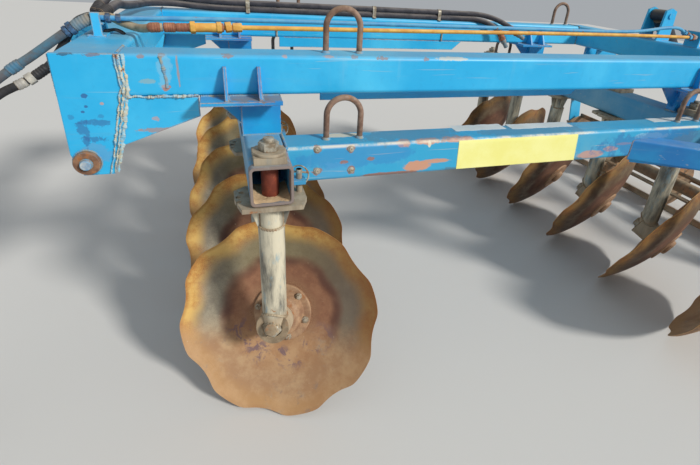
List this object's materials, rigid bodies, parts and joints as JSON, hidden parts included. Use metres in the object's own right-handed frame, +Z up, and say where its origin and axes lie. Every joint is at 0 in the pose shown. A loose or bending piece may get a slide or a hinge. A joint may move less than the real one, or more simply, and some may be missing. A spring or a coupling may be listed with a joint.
{
  "type": "disc harrow",
  "caption": "Mounted two-row disc harrow with scalloped discs on single stands, a two-level tube frame and a rear cage roller.",
  "frame": {"origin": "on the ground under the middle of the machine's box, hoses left out", "axes": "+X forwards towards the tractor, +Y to the machine's left, +Z up"},
  "size_m": [4.2567, 2.4694, 1.385],
  "materials": {
    "frame_paint": "sky-blue paint, worn to pale primer and rust at edges",
    "stand_paint": "pale worn paint over rust",
    "disc_steel": "bare steel with an ochre rust rim and a red-brown rusted bowl",
    "pipe_blue_paint": "blue paint, worn",
    "pipe_yellow_paint": "yellow passivated steel",
    "coupler_steel": "rusted brown steel",
    "hose_rubber": "black rubber, dusty",
    "roller_steel": "bare steel, rusted brown",
    "cylinder_paint": "black paint",
    "rod_chrome": "polished"
  },
  "bodies": {
    "frame": {"main_beam_left": "frame_paint", "main_beam_right": "frame_paint", "crossbeam_front": "frame_paint", "crossbeam_rear": "frame_paint", "hitch_left": "frame_paint", "hitch_right": "frame_paint", "top_link_lugs": "frame_paint", "row_beam_front": "frame_paint", "row_beam_rear": "frame_paint", "side_beam_left": "frame_paint", "side_beam_right": "frame_paint", "outrigger_left": "frame_paint", "outrigger_right": "frame_paint", "risers_front": "frame_paint", "risers_rear": "frame_paint", "stand_f1": "stand_paint", "stand_f2": "stand_paint", "stand_f3": "stand_paint", "stand_f4": "stand_paint", "stand_f5": "stand_paint", "stand_r1": "stand_paint", "stand_r2": "stand_paint", "stand_r3": "stand_paint", "stand_r4": "stand_paint", "stand_r5": "stand_paint", "stand_r6": "stand_paint", "hose_post": "frame_paint", "pipe_blue": "pipe_blue_paint", "pipe_yellow": "pipe_yellow_paint", "pipe_coupler": "coupler_steel", "hose_couplers": "coupler_steel", "hose_low_a": "hose_rubber", "hose_low_b": "hose_rubber", "hose_mid": "hose_rubber", "hose_top_a": "hose_rubber", "hose_top_b": "hose_rubber"},
    "disc_f1_rotor": {"disc_f1": "disc_steel"},
    "disc_f2_rotor": {"disc_f2": "disc_steel"},
    "disc_f3_rotor": {"disc_f3": "disc_steel"},
    "disc_f4_rotor": {"disc_f4": "disc_steel"},
    "disc_f5_rotor": {"disc_f5": "disc_steel"},
    "disc_r1_rotor": {"disc_r1": "disc_steel"},
    "disc_r2_rotor": {"disc_r2": "disc_steel"},
    "disc_r3_rotor": {"disc_r3": "disc_steel"},
    "disc_r4_rotor": {"disc_r4": "disc_steel"},
    "disc_r5_rotor": {"disc_r5": "disc_steel"},
    "disc_r6_rotor": {"disc_r6": "disc_steel"},
    "roller_arm": {"roller_frame": "frame_paint"},
    "roller_cage": {"roller": "roller_steel"},
    "barrel": {"cylinder_barrel": "cylinder_paint"},
    "rod": {"cylinder_rod": "rod_chrome"}
  },
  "joints": [
    {"name": "disc_f1_spin", "type": "hinge", "parent": "frame", "child": "disc_f1_rotor", "pos_m": [1.283, 0.80826, 0.34445], "axis": [0.3473, 0.8597, 0.3746], "continuous": true},
    {"name": "disc_f2_spin", "type": "hinge", "parent": "frame", "child": "disc_f2_rotor", "pos_m": [1.283, 0.38826, 0.34445], "axis": [0.3473, 0.8597, 0.3746], "continuous": true},
    {"name": "disc_f3_spin", "type": "hinge", "parent": "frame", "child": "disc_f3_rotor", "pos_m": [1.283, -0.03174, 0.34445], "axis": [0.3473, 0.8597, 0.3746], "continuous": true},
    {"name": "disc_f4_spin", "type": "hinge", "parent": "frame", "child": "disc_f4_rotor", "pos_m": [1.283, -0.45174, 0.34445], "axis": [0.3473, 0.8597, 0.3746], "continuous": true},
    {"name": "disc_f5_spin", "type": "hinge", "parent": "frame", "child": "disc_f5_rotor", "pos_m": [1.283, -0.87174, 0.34445], "axis": [0.3473, 0.8597, 0.3746], "continuous": true},
    {"name": "disc_r1_spin", "type": "hinge", "parent": "frame", "child": "disc_r1_rotor", "pos_m": [-0.662, 1.01826, 0.34445], "axis": [0.3473, -0.8597, 0.3746], "continuous": true},
    {"name": "disc_r2_spin", "type": "hinge", "parent": "frame", "child": "disc_r2_rotor", "pos_m": [-0.662, 0.59826, 0.34445], "axis": [0.3473, -0.8597, 0.3746], "continuous": true},
    {"name": "disc_r3_spin", "type": "hinge", "parent": "frame", "child": "disc_r3_rotor", "pos_m": [-0.662, 0.17826, 0.34445], "axis": [0.3473, -0.8597, 0.3746], "continuous": true},
    {"name": "disc_r4_spin", "type": "hinge", "parent": "frame", "child": "disc_r4_rotor", "pos_m": [-0.662, -0.24174, 0.34445], "axis": [0.3473, -0.8597, 0.3746], "continuous": true},
    {"name": "disc_r5_spin", "type": "hinge", "parent": "frame", "child": "disc_r5_rotor", "pos_m": [-0.662, -0.66174, 0.34445], "axis": [0.3473, -0.8597, 0.3746], "continuous": true},
    {"name": "disc_r6_spin", "type": "hinge", "parent": "frame", "child": "disc_r6_rotor", "pos_m": [-0.662, -1.08174, 0.34445], "axis": [0.3473, -0.8597, 0.3746], "continuous": true},
    {"name": "roller_arm_hinge", "type": "hinge", "parent": "frame", "child": "roller_arm", "pos_m": [-1.162, -0.03174, 1.03], "axis": [0, 1, 0], "range_deg": [0, 14]},
    {"name": "roller_spin", "type": "hinge", "parent": "roller_arm", "child": "roller_cage", "pos_m": [-1.707, -0.03174, 0.21], "axis": [0, 1, 0], "continuous": true},
    {"name": "barrel_swing", "type": "hinge", "parent": "frame", "child": "barrel", "pos_m": [-1.027, -0.03174, 1.345], "axis": [0, 1, 0], "range_deg": [0, 9]},
    {"name": "rod_slide", "type": "slide", "parent": "barrel", "child": "rod", "axis": [-0.6771, 0, -0.7359], "range_m": [-0.034, 0]}
  ],
  "couplings": [
    {"joint": "barrel_swing", "follows": "roller_arm_hinge", "ratio": 0.6229},
    {"joint": "rod_slide", "follows": "roller_arm_hinge", "m_per_rad": -0.13267}
  ]
}
